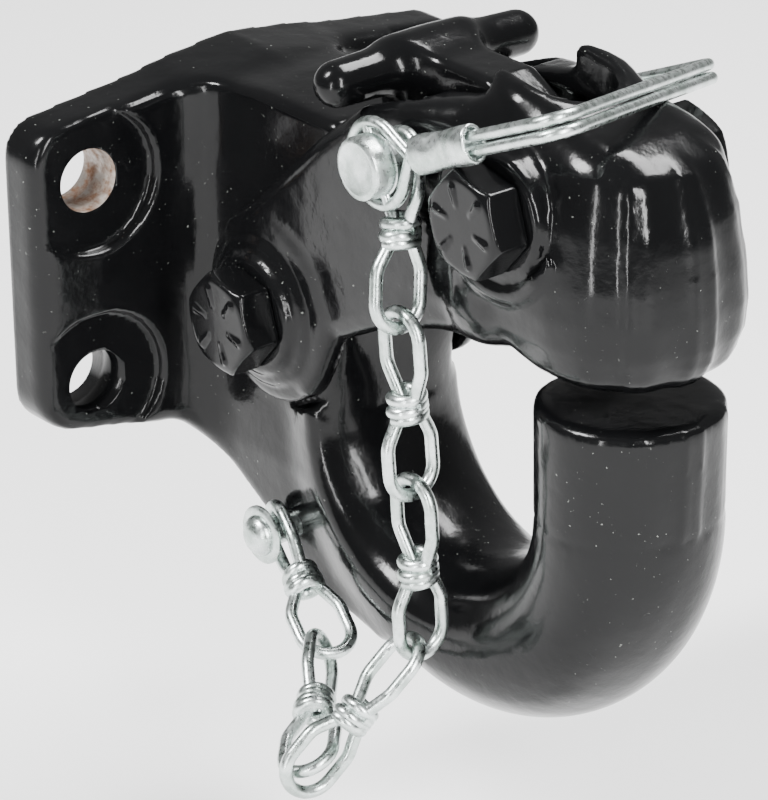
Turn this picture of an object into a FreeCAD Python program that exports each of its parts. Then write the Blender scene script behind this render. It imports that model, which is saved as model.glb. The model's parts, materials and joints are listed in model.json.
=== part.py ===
"""Forged pintle hook with a pivoting latch, a T-handled lock, a safety pin and its chain.

Millimetres. The origin is the middle of the four-hole pattern on the mounting face,
+X points away from that face, +Y is left and +Z is up.
"""

import FreeCAD, Part
import math
import os

import Sketcher

# ---------------------------------------------------------------- driving sizes

SIZES = {
    # mounting plate
    "plate_width": 112.0,
    "plate_ridge": 41.5,
    "plate_shoulder": 34.5,
    "plate_foot": 36.0,
    "plate_depth": 14.0,
    "plate_corner": 9.0,
    "bolt_spacing_wide": 85.725,
    "bolt_spacing_high": 44.45,
    "bolt_hole_bore": 13.5,
    "spotface_bore": 30.6,
    "spotface_depth": 2.5,
    # lug and web between the latch cheeks
    "lug_width": 33.0,
    "lug_front": 58.0,
    "lug_ridge": 41.5,
    "throat_back": 60.0,
    # hook bowl and horn
    "bowl_along": 92.5,
    "bowl_drop": 22.0,
    "bowl_swing": 37.0,
    "bar_radius": 17.5,
    "tip_radius": 18.7,
    "tip_level": 2.5,
    "throat_radius": 25.5,
    "throat_along": 85.5,
    "throat_drop": 21.0,
    # latch and its pivot
    "pivot_along": 41.3,
    "pivot_drop": 2.4,
    "eye_radius": 20.0,
    "boss_radius": 12.6,
    "boss_reach": 25.5,
    "arm_width": 43.0,
    "nose_width": 47.0,
    "nose_along": 128.7,
    "latch_side_gap": 0.7,
    "lock_slot_width": 24.0,
    "lock_slot_front": 127.8,
    "lock_slot_floor": 27.0,
    "lock_slot_roof": 53.5,
    "collar_width": 18.4,
    "collar_along": 110.8,
    "nose_back": 87.0,
    "nose_blend": 13.5,
    # lock and its pivot
    "lock_along": 117.0,
    "lock_level": 41.9,
    "lock_eye_radius": 10.0,
    "lock_width": 22.6,
    "lever_width": 13.0,
    "handle_along": 68.3,
    "handle_level": 54.2,
    "handle_span": 54.0,
    "handle_radius": 4.7,
    "heel_play": 2.9,
    "heel_bite": 2.5,
    # pivot bolts, half-inch
    "bolt_shank": 12.7,
    "bolt_flats": 19.05,
    "bolt_head": 8.0,
    "nut_height": 11.1,
    "bolt_end": 3.0,
    "jam_nut_height": 7.9,
    "jam_nut_seat": 19.5,
    "jam_bolt_end": 0.5,
    "running_gap": 0.05,
    # lock spring
    "spring_wire": 1.6,
    "spring_turns": 2.5,
    # safety pin and wire bail
    "pin_along": 90.0,
    "pin_level": 46.0,
    "pin_shank": 6.35,
    "pin_head": 12.7,
    "pin_head_depth": 7.8,
    "head_shoulder": 1.2,
    "pin_tip": 32.0,
    "pin_edge": 0.8,
    "bail_wire": 2.4,
    "bail_twin": 2.7,
    "bail_over": 2.0,
    "bail_stand": 2.1,
    "bail_rise": 23.5,
    "bail_start": 13.0,
    "bail_near_leg": 58.5,
    "bail_far_leg": 26.5,
    "bail_bend": 5.0,
    "ferrule_radius": 3.9,
    "ferrule_length": 19.0,
    # chain and its rivet
    "link_wire": 2.67,
    "link_inside": 35.2,
    "link_width": 13.4,
    "knot_radius": 4.0,
    "knot_length": 5.4,
    "link_gap": 0.4,
    "rivet_along": 42.6,
    "rivet_drop": 51.5,
    "rivet_shank": 6.0,
    "rivet_side_play": 2.4,
    "rivet_dome": 8.7,
    "rivet_bulge": 2.7,
    "rivet_far_head": 2.0,
    "washer_across": 12.5,
    "washer_depth": 1.2,
}

# levels up the nose, and half its width at each
NOSE_STAGES = [
    ("dims.tip_level + 7", "dims.nose_width / 2 - 5.5"),
    ("dims.tip_level + 11", "dims.nose_width / 2 - 3"),
    ("dims.tip_level + 18", "dims.nose_width / 2"),
    ("dims.lock_level - 13", "dims.nose_width / 2"),
    ("dims.lock_level + 2", "dims.nose_width / 2 - 2.5"),
    ("dims.lock_level + 11", "dims.nose_width / 2 - 5.5"),
    ("dims.lock_level + 17", "dims.nose_width / 2 - 8.5"),
    ("dims.lock_level + 25", "dims.nose_width / 2 - 12"),
]

# way each chain link points and its turn about that way, from the pin and from the rivet
HANGING_WAYS = [((6, -6.5, -34), 0), ((2.5, 0.5, -35), 0), ((1, 1, -35), 0), ((-5.1, -24.9, -24.3), 9.5)]
CLIMBING_WAYS = [((30.3, -8.3, -15.9), 7.8), ((24.8, -23.4, -8.9), 33.3)]

doc = FreeCAD.newDocument("pintle_hook")
sheet = doc.addObject("Spreadsheet::Sheet", "dims")
for row, (alias, number) in enumerate(SIZES.items(), start=1):
    sheet.set(f"A{row}", alias)
    sheet.set(f"B{row}", str(number))
    sheet.setAlias(f"B{row}", alias)
doc.recompute()


def size(alias):
    """Number held by one cell of the sheet."""
    return float(sheet.get(alias))


# ---------------------------------------------------------------- building helpers

ALONG = {
    "X": FreeCAD.Rotation(FreeCAD.Vector(0, 1, 0), 90),
    "Y": FreeCAD.Rotation(FreeCAD.Vector(1, 0, 0), -90),
    "Z": FreeCAD.Rotation(),
}
NODES = []


def place(piece, corner):
    """Tie the three coordinates of a placement to expressions."""
    for axis, expression in zip("xyz", corner):
        piece.setExpression(f"Placement.Base.{axis}", expression)
    return piece


def tie(kind, name, **expressions):
    """Add one primitive and tie its properties to expressions."""
    piece = doc.addObject(kind, name)
    for prop, expression in expressions.items():
        piece.setExpression(prop, expression)
    return piece


def rod(name, axis, radius, length, start):
    """Cylinder that starts at a point and runs along a positive axis."""
    piece = tie("Part::Cylinder", name, Radius=radius, Height=length)
    piece.Placement.Rotation = ALONG[axis]
    return place(piece, start)


def block(name, length, width, height, corner):
    """Box from its lowest corner."""
    return place(tie("Part::Box", name, Length=length, Width=width, Height=height), corner)


def hexagon(name, flats, length, start):
    """Six-sided prism along +Y with a corner straight up."""
    piece = tie("Part::Prism", name, Circumradius=f"({flats}) / sqrt(3)", Height=length)
    piece.Polygon = 6
    turn = FreeCAD.Rotation(FreeCAD.Vector(0, 0, 1), 90)
    piece.Placement.Rotation = ALONG["Y"].multiply(turn)
    return place(piece, start)


def join(name, *pieces):
    """Union of pieces."""
    fused = doc.addObject("Part::MultiFuse", name)
    fused.Shapes = list(pieces)
    fused.Refine = True
    return fused


def cut(name, base, *tools):
    """Base less all the tools."""
    tool = tools[0] if len(tools) == 1 else join(f"{name}_tools", *tools)
    piece = doc.addObject("Part::Cut", name)
    piece.Base = base
    piece.Tool = tool
    return piece


def overlap(name, first, second):
    """Shared part of two pieces."""
    piece = doc.addObject("Part::Common", name)
    piece.Base = first
    piece.Tool = second
    return piece


def plane_of(body, role):
    """One origin plane of a body, found by its role."""
    return next(part for part in body.Origin.OriginFeatures if part.Role == role)


def profile(body, name, role, corners):
    """Closed outline on an origin plane, each corner tied to two expressions."""
    sketch = body.newObject("Sketcher::SketchObject", name)
    sketch.AttachmentSupport = [(plane_of(body, role), "")]
    sketch.MapMode = "FlatFace"
    count = len(corners)
    points = []
    for across, up in corners:
        points.append(FreeCAD.Vector(evaluate(across), evaluate(up), 0))
    for index in range(count):
        sketch.addGeometry(Part.LineSegment(points[index], points[(index + 1) % count]), False)
    for index in range(count):
        sketch.addConstraint(Sketcher.Constraint("Coincident", index, 2, (index + 1) % count, 1))
    for index, (across, up) in enumerate(corners):
        corner = points[index]
        for kind, expression, now in (("DistanceX", across, corner.x), ("DistanceY", up, corner.y)):
            number = sketch.addConstraint(Sketcher.Constraint(kind, -1, 1, index, 1, now))
            sketch.setExpression(f"Constraints[{number}]", expression)
    return sketch


def evaluate(expression):
    """Present value of an expression over the sheet."""
    return float(sheet.evalExpression(expression))


def slab(name, role, corners, depth, symmetric=True):
    """Body with one pad of an outline, symmetric about its plane or standing on it."""
    body = doc.addObject("PartDesign::Body", name)
    sketch = profile(body, f"{name}_outline", role, corners)
    pad = body.newObject("PartDesign::Pad", f"{name}_pad")
    pad.Profile = sketch
    pad.SideType = "Symmetric" if symmetric else "One side"
    pad.setExpression("Length", depth)
    return body


def node(piece, label):
    """Name a finished sub-part."""
    piece.Label = label
    NODES.append(piece)
    return piece


# ---------------------------------------------------------------- hook body

def mounting_plate():
    """Plate with a shallow roof, rounded corners, four bolt holes and their spotfaces."""
    side = "dims.plate_width / 2"
    inset = "dims.plate_width / 2 - dims.plate_corner"
    plate = slab("plate", "YZ_Plane", [
        (f"-({side})", "-dims.plate_foot"),
        (side, "-dims.plate_foot"),
        (side, "dims.plate_shoulder"),
        ("0", "dims.plate_ridge"),
        (f"-({side})", "dims.plate_shoulder"),
    ], "dims.plate_depth", symmetric=False)
    doc.recompute()
    corners = []
    for index, edge in enumerate(plate.Shape.Edges, start=1):
        upright = abs(edge.BoundBox.XLength - size("plate_depth")) < 0.01
        if upright and abs(edge.CenterOfMass.y) > evaluate(inset):
            corners.append(f"Edge{index}")
    pad = plate.Tip
    fillet = plate.newObject("PartDesign::Fillet", "plate_corners")
    fillet.Base = (pad, corners)
    fillet.setExpression("Radius", "dims.plate_corner")
    return plate


def hook_body():
    """Plate, lug, web, bowl and horn of the one-piece forging."""
    lug = slab("lug", "XZ_Plane", [
        ("0", "-dims.plate_foot + 2"),
        ("dims.plate_depth - 3", "-dims.plate_foot - 5"),
        ("dims.rivet_along - 9", "-dims.rivet_drop - 3"),
        ("dims.throat_back", "-dims.bowl_drop - dims.bowl_swing - 3"),
        ("dims.bowl_along - 8", "-dims.bowl_drop - dims.bowl_swing"),
        ("dims.bowl_along - 8", "-dims.throat_drop - dims.throat_radius + 3"),
        ("dims.throat_back", "-dims.throat_drop"),
        ("dims.throat_back", "dims.pivot_drop"),
        ("dims.lug_front", "dims.pivot_drop + 8"),
        ("dims.lug_front", "dims.lug_ridge"),
        ("dims.plate_depth", "dims.plate_ridge - 3"),
        ("0", "dims.plate_ridge - 3"),
    ], "dims.lug_width")
    bowl = tie("Part::Torus", "bowl", Radius1="dims.bowl_swing", Radius2="dims.bar_radius")
    bowl.Angle3 = 180
    bowl.Placement.Rotation = ALONG["Y"]
    place(bowl, ("dims.bowl_along", "0", "-dims.bowl_drop"))
    horn = tie("Part::Cone", "horn", Radius1="dims.bar_radius", Radius2="dims.tip_radius",
               Height="dims.tip_level + dims.bowl_drop")
    place(horn, ("dims.bowl_along + dims.bowl_swing", "0", "-dims.bowl_drop"))
    blank = join("forging", mounting_plate(), lug, bowl, horn)

    reach = "dims.plate_width"
    throat = rod("throat", "Y", "dims.throat_radius", reach,
                 ("dims.throat_along", f"-({reach}) / 2", "-dims.throat_drop"))
    mouth = block("mouth", "2 * dims.throat_radius", reach, "dims.throat_drop + dims.lug_ridge",
                  ("dims.throat_along - dims.throat_radius", f"-({reach}) / 2", "-dims.throat_drop"))
    pivot = rod("pivot_bore", "Y", "dims.bolt_shank / 2 + dims.running_gap", reach,
                ("dims.pivot_along", f"-({reach}) / 2", "-dims.pivot_drop"))
    rivet_hole = rod("rivet_hole", "Y", "dims.rivet_shank / 2", reach,
                     ("dims.rivet_along", f"-({reach}) / 2", "-dims.rivet_drop"))
    tools = [throat, mouth, pivot, rivet_hole]
    for across in (-1, 1):
        for up in (-1, 1):
            tag = f"{'left' if across > 0 else 'right'}_{'top' if up > 0 else 'foot'}"
            centre = (f"{across} * dims.bolt_spacing_wide / 2", f"{up} * dims.bolt_spacing_high / 2")
            tools.append(rod(f"hole_{tag}", "X", "dims.bolt_hole_bore / 2", "dims.plate_depth + 2",
                             ("-1", *centre)))
            tools.append(rod(f"spotface_{tag}", "X", "dims.spotface_bore / 2", "dims.plate_depth",
                             ("dims.plate_depth - dims.spotface_depth", *centre)))
    return node(cut("hook_forging", blank, *tools), "hook_body")


# ---------------------------------------------------------------- latch and lock

def nose_dome():
    """Nose as seen from above and from the front: round ahead, and narrower at its top and foot."""
    outline = [(half, level) for level, half in NOSE_STAGES]
    outline += [(f"-({half})", level) for level, half in reversed(NOSE_STAGES)]
    shank = slab("nose_shank", "YZ_Plane", outline, "dims.nose_along", symmetric=False)
    behind = block("behind_nose", "dims.nose_back + dims.nose_blend", "2 * dims.nose_width",
                   "2 * dims.plate_width", ("0", "-dims.nose_width", "-dims.plate_width"))
    stages = [cut("nose_flanks", shank, behind)]
    for number, (lower, upper) in enumerate(zip(NOSE_STAGES, NOSE_STAGES[1:])):
        (foot, foot_half), (top, top_half) = lower, upper
        if foot_half == top_half:
            stage = tie("Part::Cylinder", f"nose_stage_{number}", Radius=foot_half)
        else:
            stage = tie("Part::Cone", f"nose_stage_{number}", Radius1=foot_half, Radius2=top_half)
        stage.setExpression("Height", f"({top}) - ({foot})")
        stages.append(place(stage, ("dims.nose_along", "0", foot)))
    return join("nose_plan", *stages)


def latch_jaw():
    """Forked arm that straddles the lug and ends in a nose over the tip of the hook."""
    arm_corners = [
        ("dims.pivot_along + 13", "-dims.pivot_drop - 15"),
        ("dims.throat_back + 4", "dims.pivot_drop"),
        ("dims.throat_back + 21", "dims.pivot_drop + 8.6"),
        ("dims.nose_back + 18", "dims.pivot_drop + 12.2"),
        ("dims.nose_along - 11.5", "dims.pivot_drop + 15"),
        ("dims.nose_along - 4", "dims.tip_level + 7"),
        ("dims.nose_along + 17", "dims.tip_level + 7"),
        ("dims.nose_along + dims.nose_width / 2", "dims.tip_level + 16"),
        ("dims.nose_along + dims.nose_width / 2", "dims.lock_level - 10"),
        ("dims.nose_along + 20", "dims.lock_level + 3"),
        ("dims.nose_along + 13", "dims.lock_level + 10"),
        ("dims.nose_along + 3", "dims.lock_level + 13"),
        ("dims.nose_along - 8", "dims.lock_level + 15.5"),
        ("dims.nose_along - 15", "dims.lock_level + 21"),
        ("dims.nose_along - 20", "dims.lock_level + 23"),
        ("dims.nose_along - 28", "dims.lock_level + 17"),
        ("dims.pin_along - 6", "dims.pin_level + 9"),
        ("dims.pin_along - 18", "dims.pin_level + 4"),
        ("dims.pivot_along + 16.2", "-dims.pivot_drop + 41.4"),
        ("dims.pivot_along - 13.1", "-dims.pivot_drop + 15.1"),
    ]
    arm_blank = slab("arm_blank", "XZ_Plane", arm_corners, "dims.arm_width")
    nose_blank = slab("nose_blank", "XZ_Plane", arm_corners, "dims.nose_width")
    nose = overlap("nose", nose_blank, nose_dome())
    arm_shank = block("arm_shank", "dims.nose_back + dims.nose_blend + 0.5", "dims.arm_width",
                      "2 * dims.plate_width", ("0", "-dims.arm_width / 2", "-dims.plate_width"))
    arm = overlap("arm", arm_blank, arm_shank)
    eye = rod("latch_eye", "Y", "dims.eye_radius", "dims.arm_width",
              ("dims.pivot_along", "-dims.arm_width / 2", "-dims.pivot_drop"))
    boss = rod("latch_boss", "Y", "dims.boss_radius", "2 * dims.boss_reach",
               ("dims.pivot_along", "-dims.boss_reach", "-dims.pivot_drop"))
    pad = rod("lock_pad", "Y", "dims.boss_radius", "dims.nose_width / 2 + dims.jam_nut_seat",
              ("dims.lock_along", "-dims.nose_width / 2", "dims.lock_level"))
    blank = join("latch_blank", arm, nose, eye, boss, pad)

    fork_width = "(dims.lug_width + 2 * dims.latch_side_gap)"
    fork = block("fork_slot", "dims.nose_back", fork_width, "2 * dims.plate_width",
                 ("0", f"-{fork_width} / 2", "-dims.plate_width"))
    cavity = block("lock_slot", "dims.lock_slot_front - dims.nose_back + 5", "dims.lock_slot_width",
                   "dims.lock_slot_roof - dims.lock_slot_floor",
                   ("dims.nose_back - 5", "-dims.lock_slot_width / 2", "dims.lock_slot_floor"))
    neck = block("lock_slot_neck", "dims.collar_along - dims.nose_back + 5", "dims.collar_width",
                 "dims.plate_width",
                 ("dims.nose_back - 5", "-dims.collar_width / 2", "dims.lock_slot_floor"))
    neck_end = rod("lock_slot_neck_end", "Z", "dims.collar_width / 2", "dims.plate_width",
                   ("dims.collar_along", "0", "dims.lock_slot_floor"))
    nut_seat = rod("jam_nut_seat", "Y", "dims.boss_radius", "dims.nose_width",
                   ("dims.lock_along", "dims.jam_nut_seat", "dims.lock_level"))
    reach = "dims.plate_width"
    pivot = rod("latch_bore", "Y", "dims.bolt_shank / 2 + dims.running_gap", reach,
                ("dims.pivot_along", f"-{reach} / 2", "-dims.pivot_drop"))
    lock_bore = rod("latch_lock_bore", "Y", "dims.bolt_shank / 2 + dims.running_gap", reach,
                    ("dims.lock_along", f"-{reach} / 2", "dims.lock_level"))
    pin_bore = rod("latch_pin_bore", "Y", "dims.pin_shank / 2 + 2 * dims.running_gap", reach,
                   ("dims.pin_along", f"-{reach} / 2", "dims.pin_level"))
    tools = [fork, cavity, neck, neck_end, nut_seat, pivot, lock_bore, pin_bore]
    return node(cut("latch_forging", blank, *tools), "latch_jaw")


def lock_handle():
    """Lever inside the latch: an eye on the lock bolt, a heel before the lug and a T-bar."""
    heel_back = "dims.lug_front + dims.heel_play"
    heel_foot = "dims.lug_ridge - dims.heel_bite"
    over_pin = "dims.pin_level + dims.pin_shank / 2 + 1"
    lever = slab("lever", "XZ_Plane", [
        (heel_back, heel_foot),
        (f"{heel_back} + 7", heel_foot),
        ("dims.handle_along + 8", over_pin),
        ("dims.pin_along + 6", over_pin),
        ("dims.lock_along - 12", "dims.lock_level - 6"),
        ("dims.lock_along", "dims.lock_level - dims.lock_eye_radius"),
        ("dims.lock_along", "dims.lock_level + dims.lock_eye_radius - 0.5"),
        ("dims.lock_along - 7", "dims.lock_level + dims.lock_eye_radius - 0.5"),
        ("dims.pin_along + 4", "dims.pin_level + 14"),
        ("dims.handle_along", "dims.handle_level + dims.handle_radius"),
        (heel_back, "dims.handle_level - 2"),
    ], "dims.lever_width")
    half = "dims.lock_width / 2"
    eye = rod("lock_eye", "Y", "dims.lock_eye_radius", f"{half} + dims.lock_width / 4",
              ("dims.lock_along", f"-{half}", "dims.lock_level"))
    bar = rod("cross_bar", "Y", "dims.handle_radius", "dims.handle_span",
              ("dims.handle_along", "-dims.handle_span / 2", "dims.handle_level"))
    spring_room = rod("spring_room", "Y", "dims.lock_eye_radius + 1", half,
                      ("dims.lock_along", "dims.lock_width / 4", "dims.lock_level"))
    bore = rod("lock_bore", "Y", "dims.bolt_shank / 2 + dims.running_gap", "dims.lock_width * 2",
               ("dims.lock_along", "-dims.lock_width", "dims.lock_level"))
    return node(cut("lock_forging", join("lock_blank", lever, eye, bar), spring_room, bore), "lock_handle")


def lock_spring():
    """Torsion spring coiled on the lock bolt beside the lever."""
    coil = size("bolt_shank") / 2 + size("running_gap") + size("spring_wire") / 2 + 0.6
    wire = size("spring_wire") / 2
    pitch = size("spring_wire") + 0.15
    path = Part.makeHelix(pitch, pitch * size("spring_turns"), coil)
    section = Part.Wire(Part.makeCircle(wire, FreeCAD.Vector(coil, 0, 0), FreeCAD.Vector(0, 1, 0)))
    spring = doc.addObject("Part::Feature", "lock_coil")
    spring.Shape = path.makePipeShell([section], True, True)
    start = size("lock_width") / 4 + wire + 0.3
    spring.Placement = FreeCAD.Placement(
        FreeCAD.Vector(size("lock_along"), start, size("lock_level")), ALONG["Y"])
    return node(spring, "lock_spring")


# ---------------------------------------------------------------- pivot bolts

def pivot_bolt(name, along, level, bearing, nut_seat, nut_height, bolt_end):
    """Hex bolt along Y with its head on the right side, and its nut on the left."""
    head = hexagon(f"{name}_head", "dims.bolt_flats", "dims.bolt_head",
                   (along, f"-({bearing}) - dims.bolt_head", level))
    length = f"{bearing} + {nut_seat} + {nut_height} + {bolt_end}"
    shank = rod(f"{name}_shank", "Y", "dims.bolt_shank / 2", length, (along, f"-({bearing})", level))
    nut_blank = hexagon(f"{name}_nut_blank", "dims.bolt_flats", nut_height, (along, nut_seat, level))
    nut_bore = rod(f"{name}_nut_bore", "Y", "dims.bolt_shank / 2 + dims.running_gap",
                   f"3 * {nut_height}", (along, f"{nut_seat} - {nut_height}", level))
    node(join(f"{name}_bolt_blank", head, shank), f"{name}_bolt")
    node(cut(f"{name}_nut_cut", nut_blank, nut_bore), f"{name}_nut")


# ---------------------------------------------------------------- safety pin and bail

def pin_stack():
    """Places along Y, from the cheek out to the pin's head."""
    cheek = size("arm_width") / 2
    chain_at = cheek + size("link_gap") * 2 + size("link_wire") / 2
    bail_at = size("nose_width") / 2 + size("bail_stand") + size("ferrule_radius")
    head_at = bail_at - size("bail_wire") / 2 - size("head_shoulder")
    return chain_at, bail_at, head_at


def safety_pin():
    """Headed pin through both cheeks of the latch."""
    head_at = pin_stack()[2]
    radius = size("pin_shank") / 2
    edge = size("pin_edge")
    head = size("pin_head") / 2
    end = -head_at - size("pin_head_depth")
    corners = [
        (0, end), (head - edge, end), (head, end + edge), (head, -head_at), (radius, -head_at),
        (radius, size("pin_tip") - edge), (radius - edge, size("pin_tip")), (0, size("pin_tip")),
    ]
    outline = [FreeCAD.Vector(across, along, 0) for across, along in corners]
    face = Part.Face(Part.makePolygon(outline + outline[:1]))
    turned = face.revolve(FreeCAD.Vector(), FreeCAD.Vector(0, 1, 0), 360)
    across = bail_frame()[2]
    hole = Part.makeCylinder(size("bail_wire") / 2 + size("running_gap"), 4 * head,
                             FreeCAD.Vector(0, -pin_stack()[1], 0) - across * 2 * head, across)
    pin = doc.addObject("Part::Feature", "pin_turning")
    pin.Shape = turned.cut(hole)
    pin.Placement = FreeCAD.Placement(FreeCAD.Vector(size("pin_along"), 0, size("pin_level")),
                                      FreeCAD.Rotation())
    return node(pin, "safety_pin")


def rounded_tube(points, radius, bend):
    """Round wire along straight runs joined by tangent arcs."""
    edges = []
    start = points[0]
    for before, corner, after in zip(points, points[1:], points[2:]):
        inward = (before - corner).normalize()
        onward = (after - corner).normalize()
        turn = math.pi - inward.getAngle(onward)
        reach = bend * math.tan(turn / 2)
        entry = corner + inward * reach
        leave = corner + onward * reach
        middle_way = (inward + onward).normalize()
        middle = corner + middle_way * (bend / math.cos(turn / 2) - bend)
        edges.append(Part.LineSegment(start, entry).toShape())
        edges.append(Part.Arc(entry, middle, leave).toShape())
        start = leave
    edges.append(Part.LineSegment(start, points[-1]).toShape())
    path = Part.Wire(edges)
    way = (points[1] - points[0]).normalize()
    section = Part.Wire(Part.makeCircle(radius, points[0], way))
    return path.makePipeShell([section], True, False)


def bail_frame():
    """Corners of the bail's middle line and the direction across its twin wires."""
    bail_at = pin_stack()[1]
    axis = FreeCAD.Vector(size("pin_along"), 0, size("pin_level"))
    rise = math.radians(size("bail_rise"))
    onward = FreeCAD.Vector(math.cos(rise), 0, math.sin(rise))
    across = FreeCAD.Vector(-math.sin(rise), 0, math.cos(rise))
    far_at = size("pin_tip") + size("bail_wire") / 2 + size("link_gap") * 2
    near = axis + FreeCAD.Vector(0, -bail_at, 0)
    far = axis + FreeCAD.Vector(0, far_at, 0)
    corners = [near + onward * size("bail_start"), near + onward * size("bail_near_leg"),
               far + onward * size("bail_far_leg"), far - onward * size("pin_shank") / 2]
    return corners, onward, across


def pin_bail():
    """Twin-wire bail: two ends hooked into the head's cross hole and a closed frame."""
    corners, onward, across = bail_frame()
    radius = size("bail_wire") / 2
    half = size("bail_twin") / 2
    solids = []
    for side in (-1, 1):
        shift = across * (side * half)
        solids.append(rounded_tube([corner + shift for corner in corners], radius, size("bail_bend")))
    end = corners[-1]
    solids.append(Part.makeCylinder(radius, 2 * half, end - across * half, across))
    for side in (-1, 1):
        solids.append(Part.makeSphere(radius, end + across * (side * half)))
    neck = corners[0] - onward * size("bail_start")
    over = size("pin_head") / 2 + size("bail_over") + radius
    for side in (-1, 1):
        tail = corners[0] + across * (side * half)
        hook = neck + across * (side * over)
        inside = neck + across * (side * size("bail_wire"))
        solids.append(rounded_tube([tail, hook, inside], radius, radius * 1.4))
    bail = doc.addObject("Part::Feature", "bail_bending")
    bail.Shape = solids[0].multiFuse(solids[1:])
    node(bail, "pin_bail_wire")

    sleeve = doc.addObject("Part::Feature", "ferrule_sleeve")
    outer = Part.makeCylinder(size("ferrule_radius"), size("ferrule_length"), corners[0], onward)
    sleeve.Shape = outer.cut(Part.makeCompound(solids[:2]))
    node(sleeve, "bail_ferrule")


# ---------------------------------------------------------------- chain

def link_shape():
    """One knotted link along -Z: two loops at right angles joined by a wrapped knot."""
    wire = size("link_wire") / 2
    bend = size("link_width") / 2 - wire
    reach = size("link_inside") / 2 + wire
    solids = [Part.makeCylinder(size("knot_radius"), size("knot_length"),
                                FreeCAD.Vector(0, 0, -size("knot_length") / 2))]
    for up, side in ((1, FreeCAD.Vector(1, 0, 0)), (-1, FreeCAD.Vector(0, 1, 0))):
        centre = FreeCAD.Vector(0, 0, up * (reach - bend))
        top = centre + FreeCAD.Vector(0, 0, up * bend)
        arc = Part.Arc(centre - side * bend, top, centre + side * bend).toShape()
        start = FreeCAD.Vector(0, 0, up * size("knot_length") / 4)
        shoulder = FreeCAD.Vector(0, 0, up * (size("knot_length") / 2 + bend * 0.9))
        left = Part.LineSegment(start - side * wire, shoulder - side * bend).toShape()
        rise = Part.LineSegment(shoulder - side * bend, centre - side * bend).toShape()
        fall = Part.LineSegment(centre + side * bend, shoulder + side * bend).toShape()
        right = Part.LineSegment(shoulder + side * bend, start + side * wire).toShape()
        path = Part.Wire([left, rise, arc, fall, right])
        way = (shoulder - side * bend) - (start - side * wire)
        section = Part.Wire(Part.makeCircle(wire, start - side * wire, way))
        solids.append(path.makePipeShell([section], True, False, 1))
    return solids[0].multiFuse(solids[1:])


def chain_link(number, start, way, twist, wire_way):
    """Place one link: its first loop rounds a wire at start, its second ends further along."""
    down = FreeCAD.Vector(*way).normalize()
    normal = (wire_way - down * wire_way.dot(down)).normalize()
    normal = FreeCAD.Rotation(down, twist).multVec(normal)
    side = normal.cross(down * -1)
    link = doc.addObject("Part::Feature", f"link_{number}")
    link.Shape = LINK_SHAPE
    link.Placement = FreeCAD.Placement(start + down * (size("link_inside") / 2),
                                       FreeCAD.Rotation(side, normal, down * -1, "ZXY"))
    node(link, f"chain_link_{number}")
    inner = size("link_width") / 2 - size("link_wire")
    return start + down * (size("link_inside") - inner), side, inner


def chain_run(numbers, start, ways):
    """Hang links in a row, each from the arc that ends the one before it."""
    wire_way = FreeCAD.Vector(0, 1, 0)
    for number, (way, twist), (onward, _) in zip(numbers, ways, ways[1:] + ways[-1:]):
        arc, side, inner = chain_link(number, start, way, twist, wire_way)
        pull = FreeCAD.Vector(*onward).normalize()
        reach = (pull - side * pull.dot(side)).normalize()
        start = arc + reach * inner - pull * size("link_gap")
        wire_way = side.cross(reach)


def chain():
    """Four links hang from the pin and two from the rivet, and their ends are hooked together."""
    pin_top = FreeCAD.Vector(size("pin_along"), -pin_stack()[0],
                             size("pin_level") + size("pin_shank") / 2 + size("link_gap"))
    chain_run((1, 2, 3, 4), pin_top, HANGING_WAYS)
    rivet_at = size("lug_width") / 2 + size("rivet_side_play") + size("link_wire") / 2
    rivet = FreeCAD.Vector(size("rivet_along"), -rivet_at, -size("rivet_drop"))
    rivet_play = size("rivet_shank") / 2 + size("link_gap")
    behind = FreeCAD.Vector(*CLIMBING_WAYS[0][0]).normalize() * rivet_play
    chain_run((6, 5), rivet - behind, CLIMBING_WAYS)


def chain_rivet():
    """Domed rivet in the web and the washer under its head."""
    face = size("lug_width") / 2
    stand = face + size("link_wire") + 2 * size("rivet_side_play")
    radius = size("rivet_shank") / 2
    dome = size("rivet_dome") / 2
    centre = FreeCAD.Vector(size("rivet_along"), 0, -size("rivet_drop"))
    out = FreeCAD.Vector(0, -1, 0)
    washer_face = stand + size("washer_depth")
    shank = Part.makeCylinder(radius, washer_face + face, centre - out * face, out)
    far_depth = size("rivet_far_head")
    far_head = Part.makeCylinder(dome, far_depth, centre - out * (face + far_depth), out)
    bulge = size("rivet_bulge")
    ball = (dome * dome + bulge * bulge) / (2 * bulge)
    sphere = Part.makeSphere(ball, centre + out * (washer_face + bulge - ball))
    keep = Part.makeCylinder(2 * dome, 2 * dome, centre + out * washer_face, out)
    rivet = doc.addObject("Part::Feature", "rivet_forming")
    rivet.Shape = shank.fuse([sphere.common(keep), far_head])
    node(rivet, "chain_rivet")
    ring = Part.makeCylinder(size("washer_across") / 2, size("washer_depth"), centre + out * stand, out)
    hole = Part.makeCylinder(radius + size("running_gap"), 4 * size("washer_depth"),
                             centre + out * (stand - size("washer_depth")), out)
    washer = doc.addObject("Part::Feature", "washer_blank")
    washer.Shape = ring.cut(hole)
    node(washer, "rivet_washer")


# ---------------------------------------------------------------- assembly and output

hook_body()
latch_jaw()
lock_handle()
lock_spring()
pivot_bolt("latch_pivot", "dims.pivot_along", "-dims.pivot_drop", "dims.boss_reach",
           "dims.boss_reach", "dims.nut_height", "dims.bolt_end")
pivot_bolt("lock_pivot", "dims.lock_along", "dims.lock_level", "dims.nose_width / 2",
           "dims.jam_nut_seat", "dims.jam_nut_height", "dims.jam_bolt_end")
safety_pin()
pin_bail()
LINK_SHAPE = link_shape()
chain()
chain_rivet()
doc.recompute()

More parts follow.
